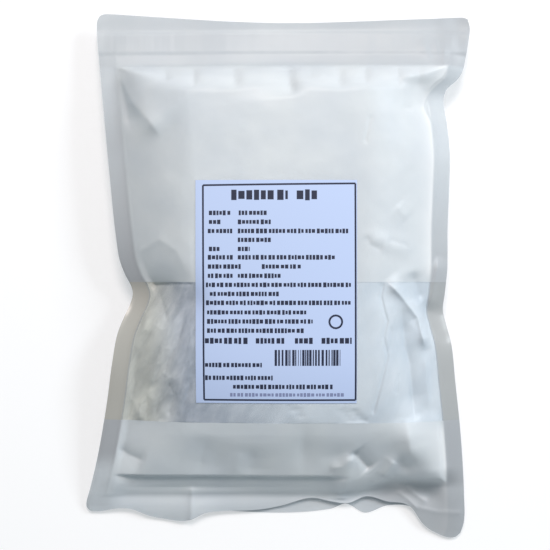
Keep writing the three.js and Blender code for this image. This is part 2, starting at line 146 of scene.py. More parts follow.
# Sharp folds: (path, lift, widths on its left and right, rounding of its tip, fade at its ends).
SHARP_FOLDS = [
    (((-95, 121), (-85, 101), (-66, 78)), 4.6, 13, 5, 0.6, 0.22),  # ridge from the top left corner
    (((70, 95.5), (78, 95.8)), -0.7, 1.5, 1.0, 0.4, 0.3),
    (((-48, -3.5), (-66, -4.6), (-100, -9)), -5.5, 7, 12, 0.8, 0.3),  # buckle of the left seal
    (((-88, 2), (-79, 14.4), (-68.3, 20.5), (-58.4, 14.2), (-50, -3)), 1.1, 4, 2.5, 0.7, 0.2),
    (((-75.5, -3), (-76.8, -16), (-79, -36)), 2.2, 5, 3, 0.6, 0.3),
    (((-94, -60), (-84, -74), (-79, -88)), 1.4, 6, 4, 0.8, 0.3),
    (((76, 3), (80, -9), (83, -17)), -3.2, 3.5, 5, 1.2, 0.3),
    (((60, -2), (69.5, -11.5), (80, -24), (84.5, -44)), 5.4, 6, 2.8, 0.8, 0.18),
    (((70, -16), (72.4, -40), (75, -50.5), (76.5, -63), (78.3, -86)), -6.0, 7, 7, 0.6, 0.25),
    (((84, -44), (86.5, -79)), 1.2, 4, 3, 0.8, 0.25),
    (((48.5, 23), (52, 17), (60, 14)), -0.9, 3, 2, 0.5, 0.25),
    (((60, 20.5), (70, 18), (76, 16)), -0.8, 2, 3, 0.5, 0.3),
    (((66, 40), (74, 32)), 0.7, 5, 3, 1.0, 0.3),
    (((52.4, 91.7), (50.7, 84.3), (48.8, 76), (52, 75)), -0.5, 0.8, 0.8, 0.3, 0.2),
    (((14.2, -122), (14.2, -80)), -3.6, 7, 18, 0.8, 0.5),  # facets of the film above the foot
    (((-15.8, -122), (-15.8, -96)), -2.0, 5, 12, 0.6, 0.4),
    (((-25.5, -118), (-22, -101)), 0.6, 3, 3, 0.6, 0.3),
    (((-48, -120), (-43, -101), (-40, -90)), -1.6, 9, 9, 0.8, 0.4),
    (((30, -113), (36.5, -110.5), (44.5, -103.5)), 2.2, 2.2, 3, 0.6, 0.2),
    (((61, -118.4), (63.5, -113), (67.5, -107)), 1.6, 2.5, 3, 0.6, 0.2),
    (((43, -101), (53.8, -113.5)), -3.6, 3.4, 3, 0.6, 0.15),
    (((-99, -98), (-88, -105), (-77, -109)), -2.6, 3.5, 7, 0.6, 0.2),
    (((72, -80), (75, -96), (78, -114)), 5.5, 15, 8, 1.2, 0.45),
]

# Fine cracks, where the powder has parted under the clear film.
CRACKS = [
    (((59.7, -3.3), (58, -11.8), (59.7, -19.7), (61.7, -26), (59.7, -35), (62, -45.8), (59.7, -55),
      (58, -62.2), (55.2, -73), (53.5, -80)), -0.9, 0.45, 1.1, 0.15, 0.05),
    (((62, -45.8), (64.5, -36), (63.5, -28)), -0.5, 0.7, 1.2, 0.2, 0.2),
    (((68.8, -55), (67.2, -69)), -0.5, 0.6, 1.0, 0.2, 0.2),
    (((41.6, -76), (45, -80), (50, -84.4)), -1.2, 1.2, 2.0, 0.3, 0.1),
    (((34, -75.5), (38, -80), (42.7, -85)), -0.6, 2.0, 1.0, 0.3, 0.1),
    (((5.5, -72.5), (8, -77), (10.5, -75.5), (12, -80), (14.5, -81)), -0.8, 0.8, 0.8, 0.3, 0.1),
    (((-52.8, -16), (-56.3, -36.9), (-63.7, -50), (-67, -62)), -1.8, 1.6, 3.6, 0.4, 0.3),
    (((-63.7, -59.7), (-60, -68), (-63.7, -83.1)), -1.0, 2.2, 1.2, 0.4, 0.2),
    (((-77, -70), (-72, -62), (-66, -48)), -0.9, 1.0, 2.4, 0.3, 0.3),
    (((-77, -66), (-75.5, -76), (-77.5, -84)), -0.7, 1.0, 2.0, 0.3, 0.3),
    (((-72, -82), (-69, -72), (-63, -64), (-56, -58)), -0.8, 2.2, 1.0, 0.3, 0.3),
    (((-56, -80), (-52, -68), (-49, -56)), -0.7, 1.2, 2.4, 0.3, 0.3),
    (((-71, -6), (-67, -17), (-63, -28)), -1.2, 1.0, 2.6, 0.4, 0.3),
]
POWDER_EDGE = (((-76, -5.2), (-46, -4.6)), -1.5, 0.7, 0.9, 0.2, 0.15)

# Oval hollows: (centre, half-widths along its two directions, turn in degrees, depth).
HOLLOWS = [
    ((74, -110.5), 4.5, 5.5, 30, 3.4),
    ((-36, -107), 9, 5, 60, 0.8),
    ((34, -104), 8, 5, 20, 1.0),
]

# Folds of the flat parts, which the header, the zip and the flanges follow together.
SEAM_FOLDS = [
    (((97, 138), (96.5, 126), (95, 116)), 0.9, 1.6, 4, 0.6, 0.3),
    (((93, 12), (90, -5), (86.5, -22)), 2.6, 5, 2.0, 0.5, 0.25),  # crease beside the lower right seal
    (((83, 140), (88, 122)), 0.8, 2.4, 4.5, 1.2, 0.4),
    (((91.5, 140), (92.5, 124)), 0.6, 1.6, 3.0, 0.8, 0.4),
    (((-51.5, -124), (-52, -148)), 1.3, 3.5, 2.0, 0.6, 0.15),
    (((36.8, -119), (37.2, -134)), 1.6, 2.0, 3.0, 0.6, 0.15),
    (((75, -124), (81, -130), (88.7, -135)), 1.0, 1.2, 2.2, 0.4, 0.15),
    (((69, -127), (78, -134), (84, -140)), 0.9, 1.4, 2.0, 0.4, 0.2),
    (((53, -120), (63, -123), (75, -126)), 0.8, 1.0, 2.0, 0.4, 0.15),
    (((82, -137.4), (93.6, -140), (110, -140.7)), 0.5, 0.7, 1.6, 0.3, 0.1),
    (((-100, -126), (-62, -123)), 0.5, 2.0, 4.0, 0.8, 0.3),
]

# Puckers below the header, each [x at the header line, tip's x, tip's y, depth, gentle width]: the
# film falls gently from the left and rises steeply on the right.
PUCKERS = [
    (-66.5, -63, 109, 2.2, 7), (-49.3, -47.6, 105, 2.8, 8), (-25.7, -24, 104, 3.4, 9),
    (5.4, 8, 100, 4.6, 12), (19.2, 18.7, 109, 2.0, 5), (35.3, 35, 104, 3.4, 8), (50.2, 49, 107, 2.6, 6),
    (68.6, 69, 106, 2.6, 8), (81.3, 80.4, 104, 1.6, 6),
]
# Every pucker's steep width, how far it runs past the header line, its rounding and its fade.
PUCKER = SimpleNamespace(steep=3, past_line=5, tip=0.5, taper=0.3)

# The turn of the crinkles and of the powder's smears behind the clear band.
LEAN = math.radians(58)
CRINKLE = SimpleNamespace(height=0.34, size=8, stretch=3, depth=2.4, power=0.7, seed=21)
# The crinkles' share where the film is tight, and how far left of the middle its slack starts.
SLACK = SimpleNamespace(least=0.12, start=44, reach=6)
# Where the slack film is gathered, and how much stronger its crinkles are there.
GATHER = SimpleNamespace(x=-70, y=-74, reach=13, more=0.8)
DENTS = SimpleNamespace(height=0.16, size=17, seed=5)
# The folds fade out over SEAM_CLEAR from the seams, and a bead of weld stands along their inner edge.
SEAM_CLEAR = 5
BEAD = SimpleNamespace(height=0.25, width=1.0)
STROKES = SimpleNamespace(height=0.1, size=4.4, octaves=3, seed=11)

# The painted highlight along the inner edge of the side seals falls off over this distance.
PAINTED_HIGHLIGHT_REACH = 5
# Fades over the film, each (where it starts, over what reach).
TO_RIGHT = (0, 60)
FLANGE_TO_RIGHT = (42, 26)
HEADER_TO_RIGHT = (-20, 80)
HEADER_CORNER = (88, 10)
FOOT_TO_RIGHT = (40, 20)
PAST_SEAM = (-0.75, 1.5)
PAST_FLANGE_LINE = (-3, 6)
UP_SEAL = (0, 120)
DOWN_TO_FOOT = (102, 14)
PAST_WINDOW = (0, 8)
# How much of the weld grey, which is partly painted shade, shows on each part, and how much sooner
# it fades up the right seal.
WELD_AND_SHADE_SHOWN = SimpleNamespace(high=0.2, header=0.36, header_right=0.5, corner=0.25, flange=0.1,
                             flange_right=0.7, sooner=40)

# ---- Curves and shares ----


def mix(a, b, t):
    """The value a share t of the way from a to b."""
    return a + (b - a) * t


def step(t):
    """Smooth rise from 0 to 1 as t does: three t squared less two t cubed."""
    t = np.clip(t, 0, 1)
    return t * t * (3 - 2 * t)


def rise(value, start, reach):
    """Smooth rise from 0, where a value is at a start, to 1 at a reach past it."""
    return step((value - start) / reach)


def quarter_round(t):
    """Height of a quarter circle of radius 1 over t from its foot, and 1 beyond it."""
    return np.sqrt(1 - (1 - np.clip(t, 0, 1)) ** 2)


def soft_lowest(shares, power):
    """Smooth lowest of shares from 0 to 1: (sum of share^-power, less one for each but one)^(-1/power)."""
    shares = np.maximum(shares, 1e-6)
    return (np.sum(shares**-power, axis=0) - len(shares) + 1) ** (-1 / power)


def curve_through(points, axis=0):
    """Smooth curve through points given by one coordinate, as a function that returns the others.

    Between two points it is the cubic whose slope at each is the mean of the two straight lines there.
    """
    points = np.array(points, float)
    at = points[:, axis]
    values = np.delete(points, axis, axis=1)
    secants = np.diff(values, axis=0) / np.diff(at)[:, None]
    slopes = np.vstack([secants[:1], (secants[1:] + secants[:-1]) / 2, secants[-1:]])

    def curve(where):
        where = np.clip(where, at[0], at[-1])
        k = np.clip(np.searchsorted(at, where) - 1, 0, len(at) - 2)
        span = (at[k + 1] - at[k])[..., None]
        t = (where[..., None] - at[k][..., None]) / span
        start = values[k] * (1 + 2 * t) * (1 - t) ** 2 + slopes[k] * span * t * (1 - t) ** 2
        end = values[k + 1] * t**2 * (3 - 2 * t) + slopes[k + 1] * span * t**2 * (t - 1)
        return np.moveaxis(start + end, -1, 0)

    return curve


left_edge = curve_through(LEFT_EDGE, 1)
right_edge = curve_through(RIGHT_EDGE, 1)
top_edge = curve_through(TOP_EDGE)
bottom_edge = curve_through(BOTTOM_EDGE)
belly_height = curve_through(BELLY)
back_flange_edge = curve_through(BACK_FLANGE_EDGE)


def distance_to_path(x, y, path):
    """Distance to a path of straight stretches, the side (+1 on its left) and the share along it."""
    starts = np.array(path[:-1], float)
    spans = np.diff(np.array(path, float), axis=0)
    lengths = np.hypot(*spans.T)
    done = np.concatenate([[0], np.cumsum(lengths)])
    nearest = np.full(np.shape(x), np.inf)
    side = np.ones(np.shape(x))
    along = np.zeros(np.shape(x))
    for (x0, y0), (dx, dy), length, before in zip(starts, spans, lengths, done):
        t = np.clip(((x - x0) * dx + (y - y0) * dy) / length**2, 0, 1)
        distance = np.hypot(x - x0 - t * dx, y - y0 - t * dy)
        closer = distance < nearest
        nearest = np.where(closer, distance, nearest)
        side = np.where(closer, np.sign(dx * (y - y0) - dy * (x - x0)), side)
        along = np.where(closer, (before + t * length) / done[-1], along)
    return nearest, side, along


def swelling(x, y, path, lift, reach):
    """A round fold along a path: lift times e to the minus (distance over reach) squared."""
    distance, _, _ = distance_to_path(x, y, path)
    return lift * np.exp(-((distance / reach) ** 2))


def pleat(x, y, path, lift, left, right, tip, taper):
    """A sharp fold along a path, rounded by tip, that falls away e-fold over left and right of it.

    Its lift fades in and out over the share taper at each end of the path.
    """
    distance, side, along = distance_to_path(x, y, path)
    width = np.where(side > 0, left, right)
    ends = step(along / taper) * step((1 - along) / taper)
    return lift * ends * np.exp(-(np.hypot(distance, tip) - tip) / width)


def hollow(x, y, centre, across, along, turn, depth):
    """An oval hollow: depth times e to the minus squared distance in the oval's own two directions."""
    c, s = math.cos(math.radians(turn)), math.sin(math.radians(turn))
    p = ((x - centre[0]) * c + (y - centre[1]) * s) / across
    q = ((y - centre[1]) * c - (x - centre[0]) * s) / along
    return -depth * np.exp(-(p * p + q * q))


def noise(x, y, size, seed):
    """Smooth noise from -1 to 1: random values on a lattice of the given size, blended between."""
    lattice = np.random.default_rng(seed).uniform(-1, 1, (64, 64))
    p, q = x / size + 1000, y / size + 1000
    i, j = np.floor(p).astype(int), np.floor(q).astype(int)
    s, t = step(p - i), step(q - j)

    def at(a, b):
        return lattice[(i + a) % 64, (j + b) % 64]

    return mix(mix(at(0, 0), at(1, 0), s), mix(at(0, 1), at(1, 1), s), t)


def rough(x, y, size, seed, octaves=4):
    """Layered noise: each layer is half as large and half as high as the one before."""
    return sum(noise(x, y, size / 2**k, seed + k) / 2**k for k in range(octaves))


# ---- The bag's walls ----

SIDES = tuple(SWELL)


def place(u, v):
    """The bag's point (u, v): its x and y, the seam's height and the distances inside each seam.

    x goes from the left to the right edge by u, and y from the bottom to the top edge by v. The seam
    takes the edges' heights across the bag, and the waves of the top and bottom edges fade into it. It
    stands SEAM_RISE above that where the filling is, dips by FLANGE_DIP along the flange line between
    the side seals, and carries the folds of the flat parts. The flange line is FLANGE_LIFT higher at
    the right, and the inner edge of the right seal wanders by PINCHES.
    """
    x_left, z_left = left_edge(mix(BOTTOM_LEFT[1], TOP_LEFT[1], v))
    x_right, z_right = right_edge(mix(BOTTOM_RIGHT[1], TOP_RIGHT[1], v))
    y_bottom, z_bottom = bottom_edge(mix(BOTTOM_LEFT[0], BOTTOM_RIGHT[0], u))
    y_top, z_top = top_edge(mix(TOP_LEFT[0], TOP_RIGHT[0], u))
    width = x_right - x_left
    x = x_left + u * width
    y = y_bottom + v * (y_top - y_bottom)
    top_wave = z_top - mix(TOP_LEFT[2], TOP_RIGHT[2], u)
    bottom_wave = z_bottom - mix(BOTTOM_LEFT[2], BOTTOM_RIGHT[2], u)
    edge = mix(z_left, z_right, u)
    edge = edge + top_wave * v**WAVE_POWER.top + bottom_wave * (1 - v) ** WAVE_POWER.bottom
    over_side = np.clip(np.minimum(u, 1 - u) * width / SIDE_SEAL, 0, 1)
    over_header = np.clip((y_top - y) / (y_top - HEADER_LINE_Y), 0, 1)
    flange_line = FLANGE_LINE_Y + FLANGE_LIFT * rise(x, *FLANGE_TO_RIGHT)
    over_flange = rise(y - flange_line, SEAM_RISE.start, SEAM_RISE.reach)
    from_right = (1 - u) * width - SIDE_SEAL
    pinches = sum(depth * np.exp(-(((y - at_y) / reach) ** 2)) for at_y, depth, reach in PINCHES)
    pinches = pinches * np.exp(-np.maximum(from_right, 0) / PINCH_FADE)
    inside = {
        "left": u * width - SIDE_SEAL,
        "right": from_right - pinches,
        "top": HEADER_LINE_Y - y,
        "bottom": y - flange_line,
    }
    seam = edge + mix(SEAM_RISE.left, SEAM_RISE.right, u) * over_side * over_header**2 * over_flange
    near_line = np.exp(-(((y - FLANGE_LINE_Y) / FLANGE_DIP.reach) ** 2))
    between_seals = step(np.minimum(inside["left"], inside["right"]) / FLANGE_DIP.fade)
    seam = seam - FLANGE_DIP.share * (edge - FLANGE_DIP.lowest) * between_seals * near_line
    seam = seam + sum(pleat(x, y, *fold) for fold in SEAM_FOLDS)
    return SimpleNamespace(x=x, y=y, seam=seam, inside=inside)


def v_at(u, y):
    """The v that lies at a height y up the bag on the column u."""
    y_bottom, _ = bottom_edge(mix(BOTTOM_LEFT[0], BOTTOM_RIGHT[0], u))
    y_top, _ = top_edge(mix(TOP_LEFT[0], TOP_RIGHT[0], u))
    return (y - y_bottom) / (y_top - y_bottom)


def swell(distance, reach, power):
    """Share of the full height: 1 less (1 less distance over reach) to that power, and 1 past reach."""
    return 1 - (1 - np.clip(distance / reach, 0, 1)) ** power


def over_zip(y):
    """1 over the zip, falling to 0 across a shoulder on each side."""
    return step((ZIP.width / 2 + ZIP.shoulder - np.abs(y - ZIP.y)) / ZIP.shoulder)


def half_stack(y):
    """Half of the thickness where the walls lie together: the weld, and more over the zip."""
    return mix(WELD, ZIP.thickness / 2 + FILM + ZIP.room, over_zip(y))


def crease_drop(x, y):
    """The shelf below the pillow: CREASE.drop under the crease, and less towards the flange line.

    It fades in and out at the crease's two ends.
    """
    within = rise(x, CREASE.left, CREASE.fade) * rise(-x, -CREASE.right, CREASE.fade)
    share = np.clip((y - FLANGE_LINE_Y) / (CREASE.y - FLANGE_LINE_Y), 0, 1)
    return CREASE.drop * within * share * step((CREASE.y - y) / CREASE.width + 0.5)


def pillow_folds(x, y):
    """The folds of the filled film, summed: round and sharp ones, hollows, and the puckers."""
    folds = sum(swelling(x, y, *fold) for fold in SOFT_FOLDS)
    folds = folds + sum(pleat(x, y, *fold) for fold in SHARP_FOLDS)
    folds = folds + sum(hollow(x, y, *oval) for oval in HOLLOWS)
    for header_x, tip_x, tip_y, depth, gentle in PUCKERS:
        path = ((tip_x, tip_y), (header_x, HEADER_LINE_Y), (header_x, HEADER_LINE_Y + PUCKER.past_line))
        folds = folds + pleat(x, y, path, -depth, gentle, PUCKER.steep, PUCKER.tip, PUCKER.taper)
    return folds


def off_label(x, y, reach=4):
    """1 away from the label and 0 under it, so that the film lies smooth there."""
    out_x = np.abs(x - LABEL.x) - LABEL.width / 2
    out_y = np.abs(y - LABEL.y) - LABEL.height / 2
    return step(np.maximum(out_x, out_y) / reach)


def in_window(y, fade=1.5):
    """1 behind the clear band and 0 away from it."""
    return step((y - WINDOW[0]) / fade) * step((WINDOW[1] - y) / fade)


def crinkle(x, y):
    """Sharp small ridges that lean to the upper right.

    They are 1 less a depth times a power of the size of noise that is stretched along them.
    """
    along = x * math.cos(LEAN) + y * math.sin(LEAN)
    across = y * math.cos(LEAN) - x * math.sin(LEAN)
    stretched = rough(across, along / CRINKLE.stretch, CRINKLE.size, CRINKLE.seed)
    return 1 - CRINKLE.depth * np.abs(stretched) ** CRINKLE.power


def fine_relief(x, y):
    """Small dents of the film, and its crinkles and the powder's cracks behind the clear band.

    The crinkles are strongest in the slack at the left and where it is gathered at the lower left,
    and the right side is drawn tight.
    """
    slack = mix(SLACK.least, 1, rise(-x, SLACK.start, SLACK.reach))
    off = np.hypot(x - GATHER.x, y - GATHER.y)
    gathered = 1 + GATHER.more * np.exp(-((off / GATHER.reach) ** 2))
    window = CRINKLE.height * slack * gathered * crinkle(x, y)
    window = window + sum(pleat(x, y, *crack) for crack in [*CRACKS, POWDER_EDGE])
    return DENTS.height * rough(x, y, DENTS.size, DENTS.seed) + in_window(y) * window


def strokes(x, y):
    """Upright wavering of the film over the zip's ribs: noise along the zip alone."""
    return STROKES.height * over_zip(y) * rough(x, 0 * y, STROKES.size, STROKES.seed, STROKES.octaves)


def front_height(at):
    """Height of the front wall.

    The seam, half of the stack, the belly scaled by the lowest of the four swells, the folds, which
    fade out near the seams, and a bead of weld along the inner edge of each seam.
    """
    x, y = at.x, at.y
    swells = [swell(at.inside[side], *SWELL[side]) for side in SIDES]
    full = soft_lowest(np.array(swells), CORNER_POWER.front)
    (belly,) = belly_height(y)
    belly = belly - CROWN.fall * ((x - CROWN.x) / CROWN.half_width) ** 2
    lowest = np.minimum.reduce([at.inside[side] for side in SIDES])
    clear = step(lowest / SEAM_CLEAR)
    folds = clear * (pillow_folds(x, y) - crease_drop(x, y) + off_label(x, y) * fine_relief(x, y))
    bead = BEAD.height * np.exp(-((lowest / BEAD.width) ** 2))
    return at.seam + half_stack(y) + (belly - at.seam) * full + folds + bead + strokes(x, y)


def back_height(at):
    """Height of the back wall: flat on the table, with a quarter round up to each seam."""
    rounds = [quarter_round(np.maximum(at.inside[side], 0) / radius) for side, radius in UNDERSIDE.items()]
    return (at.seam - half_stack(at.y)) * (1 - soft_lowest(np.array(rounds), CORNER_POWER.back))


# ---- Meshes ----

# Edges that turn by more degrees than this are shaded sharp.
SHARP_ANGLE = 70


def normals_of(points):
    """Unit normals of a grid of points, across its rows and columns."""
    normals = np.cross(np.gradient(points, axis=1), np.gradient(points, axis=0))
    return normals / np.linalg.norm(normals, axis=2, keepdims=True)


def closed_sheet(top, low):
    """Points and faces of a closed sheet between two grids of points, and round their four edges."""
    rows, columns = top.shape[:2]
    upper = np.arange(rows * columns).reshape(rows, columns)
    lower = upper + rows * columns
    tops = np.stack([upper[:-1, :-1], upper[:-1, 1:], upper[1:, 1:], upper[1:, :-1]], -1)
    unders = np.stack([lower[:-1, :-1], lower[1:, :-1], lower[1:, 1:], lower[:-1, 1:]], -1)
    edge = np.concatenate([upper[0, :-1], upper[:-1, -1], upper[-1, :0:-1], upper[:0:-1, 0]])
    ahead = np.roll(edge, -1)
    rim = np.stack([edge + rows * columns, ahead + rows * columns, ahead, edge], -1)
    points = np.concatenate([top.reshape(-1, 3), low.reshape(-1, 3)])
    return points, np.concatenate([tops.reshape(-1, 4), unders.reshape(-1, 4), rim])


def make_piece(name, sheet, finish, replaces=(), shares=None):
    """A smooth-shaded piece riding on the bag's one body, from a sheet's points and faces.

    shares holds named shares from 0 to 1, with a value for each point, that its finish reads.
    """
    points, faces = sheet
    mesh = bpy.data.meshes.new(name)
    mesh.from_pydata(((points - (*DRAWN_MIDDLE, 0)) * MM).tolist(), [], faces.tolist())
    mesh.polygons.foreach_set("use_smooth", np.ones(len(faces), bool))
    mesh.set_sharp_from_angle(angle=math.radians(SHARP_ANGLE))
    for share, values in (shares or {}).items():
        mesh.attributes.new(share, "FLOAT", "POINT").data.foreach_set("value", values)
    mesh.materials.append(finish)
    piece = bpy.data.objects.new(name, mesh)
    bpy.context.scene.collection.objects.link(piece)
    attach(piece, "root")
    if replaces:
        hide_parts(*replaces)


# ---- Finishes ----

FROSTED_LOW = "dde4ea"
FROSTED_HIGH = "e4eaee"
# A painted highlight: the paler white along the right seal's inner edge.
PAINTED_HIGHLIGHT_WHITE = "fbfdff"
# Painted shade and weld: the welded film's grey stands for the shaded table seen through the seal.
FROSTED_WELDED_SHADE = "b4b8bd"
CLEAR_COLOUR = "c9d2da"
# The clear film's welded grey, likewise partly painted shade.
CLEAR_WELDED_SHADE = "b6b9ba"
CLEAR_DUSTY = "bdbcb6"
FROSTED_ALPHA = 0.5
CLEAR_ALPHA = 0.22
WELD_ALPHA = 0.8
# Powder: the two colours that it drifts between where it is even, tight and loose, and of painted shade
# for its hollows.
EVEN = ("eaebec", "f6f6f5")
TIGHT = ("dbe4ec", "ebf1f6")
VOID_SHADE = ("939dae", "cdd1dc")
LOOSE = ("c2c0b2", "eae7d8")
SMEAR_STRETCH = 3
# Where a change across the bag starts and where it is whole, along x.
DUSTY_ACROSS = (0, -80)
VOID_SHADE_ACROSS = (20, -45)
LOOSE_ACROSS = (-52, -74)


def linear(hex_colour):
    """An sRGB hex colour as linear red, green, blue and 1."""
    parts = [int(hex_colour[k : k + 2], 16) / 255 for k in (0, 2, 4)]
    return (*(p / 12.92 if p <= 0.04045 else ((p + 0.055) / 1.055) ** 2.4 for p in parts), 1)


def scale_for(size):
    """Scale of a pattern whose features are the given number of millimetres across."""
    return 1 / (size * MM)


def add(tree, kind, output=None, inputs=None, **settings):
    """Adds a node and returns the output of that name.

    Settings go on the node itself, and each input is given a value or linked to a socket.
    """
    made = tree.nodes.new(kind)
    for key, value in settings.items():
        setattr(made, key, value)
    for key, value in (inputs or {}).items():
        if isinstance(value, bpy.types.NodeSocket):
            tree.links.new(value, made.inputs[key])
        else:
            made.inputs[key].default_value = value
    return made.outputs[output] if output else None


def new_finish(name):
    """An empty material with its node tree and its object coordinates."""
    material = bpy.data.materials.new(name)
    material.use_nodes = True
    tree = material.node_tree
    tree.nodes.clear()
    return material, tree, add(tree, "ShaderNodeTexCoord", "Object")


def finish_with(tree, inputs):
    """Ends a material in one Principled shader."""
    shader = add(tree, "ShaderNodeBsdfPrincipled", "BSDF", inputs)
    add(tree, "ShaderNodeOutputMaterial", inputs={"Surface": shader})


def clouded(tree, where, size, detail, low, high):
    """A colour that drifts between two as layered noise of a size in millimetres does."""
    pattern = {"Vector": where, "Scale": scale_for(size), "Detail": detail}
    cloud = add(tree, "ShaderNodeTexNoise", "Fac", pattern)
    share = add(tree, "ShaderNodeMapRange", "Result", {"Value": cloud, "From Min": 0.35, "From Max": 0.65})
    colours = {"Factor": share, "A": linear(low), "B": linear(high)}
    return add(tree, "ShaderNodeMix", "Result", colours, data_type="RGBA")


def grained(tree, where, size, detail, strength, depth):
    """Normals roughened by layered noise of a size and a depth in millimetres."""
    pattern = {"Vector": where, "Scale": scale_for(size), "Detail": detail}
    grain = add(tree, "ShaderNodeTexNoise", "Fac", pattern)
    relief = {"Height": grain, "Strength": strength, "Distance": depth * MM}
    return add(tree, "ShaderNodeBump", "Normal", relief)


def share_across(tree, where, start, end):
    """Share from 0 at one place along x to 1 at another, both in millimetres."""
    x = add(tree, "ShaderNodeSeparateXYZ", "X", {"Vector": where})
    limits = {"Value": x, "From Min": start * MM, "From Max": end * MM}
    return add(tree, "ShaderNodeMapRange", "Result", limits)


# Blown polyethylene with a frosted, milky outer coat. The coat scatters light, so the powder behind
# it reads as an even blue-white, with a broad soft sheen and no mirror images. Where it is welded to
# the other wall, heat has cleared it, and a painted grey stands for shade seen through the seal. A
# painted highlight pales it along the right seal's inner edge.
def frosted_film():
    """Drifting milky white; a painted highlight by the right seal; weld grey, partly painted shade."""
    material, tree, where = new_finish("frosted_polyethylene")
    loose = clouded(tree, where, 30, 3.0, FROSTED_LOW, FROSTED_HIGH)
    painted_highlight = add(tree, "ShaderNodeAttribute", "Fac", attribute_name="painted_highlight")
    weld = add(tree, "ShaderNodeAttribute", "Fac", attribute_name="weld")
    free = add(tree, "ShaderNodeMix", "Result",
               {"Factor": painted_highlight, "A": loose, "B": linear(PAINTED_HIGHLIGHT_WHITE)}, data_type="RGBA")
    colour = add(tree, "ShaderNodeMix", "Result",
                 {"Factor": weld, "A": free, "B": linear(FROSTED_WELDED_SHADE)}, data_type="RGBA")
    alpha = add(tree, "ShaderNodeMix", "Result", {"Factor": weld, "A": FROSTED_ALPHA, "B": WELD_ALPHA})
    grain = grained(tree, where, 0.9, 2.0, 0.12, 0.2)
    finish_with(tree, {"Base Color": colour, "Roughness": 0.42, "IOR": 1.5, "Alpha": alpha, "Normal": grain})
    return material


# The same blown film without its frosted coat: clear and glossy, so the powder pressed against it
# shows, and its crinkles catch small sharp lights.
def clear_film():
    """One clear tint that goes grey where welded, partly painted shade, warmed towards the left by dust."""
    material, tree, where = new_finish("clear_polyethylene")
    weld = add(tree, "ShaderNodeAttribute", "Fac", attribute_name="weld")
    dusty = share_across(tree, where, *DUSTY_ACROSS)
    welded_shade = add(tree, "ShaderNodeMix", "Result",
                 {"Factor": dusty, "A": linear(CLEAR_WELDED_SHADE), "B": linear(CLEAR_DUSTY)}, data_type="RGBA")
    colour = add(tree, "ShaderNodeMix", "Result",
                 {"Factor": weld, "A": linear(CLEAR_COLOUR), "B": welded_shade}, data_type="RGBA")
    alpha = add(tree, "ShaderNodeMix", "Result", {"Factor": weld, "A": CLEAR_ALPHA, "B": WELD_ALPHA})
    finish_with(tree, {"Base Color": colour, "Roughness": 0.25, "IOR": 1.5, "Alpha": alpha})
    return material


# Milled tapioca starch, a fine dry powder packed by handling: matte white.
def starch_powder():
    """Even white powder with soft clouds."""
    material, tree, where = new_finish("starch_powder")
    powdery(tree, where, clouded(tree, where, 16, 5.0, *EVEN))
    return material


# The same powder where the clear band shows it. It has smeared along the film in leaning drifts that
# are warm where it is loose, and grey-blue with painted shade for its hollows behind the film, the
# most in the slack at the left.
def smeared_powder():
    """Leaning clouds of powder: tight at the right, painted shade towards the left, loose at the far left.
    """
    material, tree, where = new_finish("smeared_starch_powder")
    lean = {"Vector": where, "Rotation": (0, 0, LEAN), "Scale": (SMEAR_STRETCH, 1, 1)}
    lain = add(tree, "ShaderNodeMapping", "Vector", lean, vector_type="TEXTURE")
    tight = clouded(tree, lain, 12, 4.0, *TIGHT)
    # Grey-blue clouds of painted shade for the hollows where the powder stands off the film.
    thin = clouded(tree, lain, 8, 4.0, *VOID_SHADE)
    loose = clouded(tree, lain, 8, 4.0, *LOOSE)
    to_loose = share_across(tree, where, *LOOSE_ACROSS)
    to_void_shade = share_across(tree, where, *VOID_SHADE_ACROSS)
    slack = add(tree, "ShaderNodeMix", "Result",
                {"Factor": to_loose, "A": thin, "B": loose}, data_type="RGBA")
    colour = add(tree, "ShaderNodeMix", "Result",
                 {"Factor": to_void_shade, "A": tight, "B": slack}, data_type="RGBA")
    powdery(tree, where, colour)
    return material


def powdery(tree, where, colour):
    """Ends a material as matte powder of a colour, with a grain under a millimetre."""
    grain = grained(tree, where, 0.6, 3.0, 0.25, 0.3)
    finish_with(tree, {"Base Color": colour, "Roughness": 0.95, "IOR": 1.45, "Normal": grain})


def plain(name, hex_colour, roughness, **more):
    """A material of one colour and one roughness."""
    material, tree, _ = new_finish(name)
    finish_with(tree, {"Base Color": linear(hex_colour), "Roughness": roughness, **more})
    return material


FROSTED = frosted_film()
CLEAR = clear_film()
POWDER = starch_powder()
SMEARED = smeared_powder()
# Coated label paper, calendered smooth: pale lavender blue, matte, with no visible fibre.
PAPER = plain("coated_paper", "bacbed", 0.5)
# Thermal-printed ink: flat blue-black, a little glossier than the paper.
DARK_INK = plain("printing_ink", "20263f", 0.4)
# The same ink in a thinner stroke, which reads as grey.
THIN_INK = plain("thin_printing_ink", "7f88ac", 0.4)
# Extruded polyethylene: translucent and smooth, so its ribs show as soft light and dark lines.
ZIP_PLASTIC = plain("extruded_polyethylene", "c4d0db", 0.3, Alpha=0.6)

# ---- The film and the powder ----


def spread(start, *stretches):
    """Grid lines over stretches that each end at a value and take a number of cells."""
    lines = [np.array([start], float)]
    for end, cells in stretches:
        lines.append(np.linspace(lines[-1][-1], end, cells + 1)[1:])
    return np.concatenate(lines)


SEAL_U = (0.046, 0.954)
ACROSS = spread(0, (SEAL_U[0], 12), (0.29, 64), (0.71, 46), (SEAL_U[1], 64), (1, 12))
FINE_ACROSS = spread(0, (SEAL_U[0], 10), (0.255, 90), (0.735, 46), (SEAL_U[1], 94), (1, 10))


def rows_between(low, high, cells, columns=ACROSS):
    """A grid of u and v with even rows between two heights up the bag."""
    u, y = np.meshgrid(columns, np.linspace(low, high, cells + 1))
    return u, v_at(u, y)


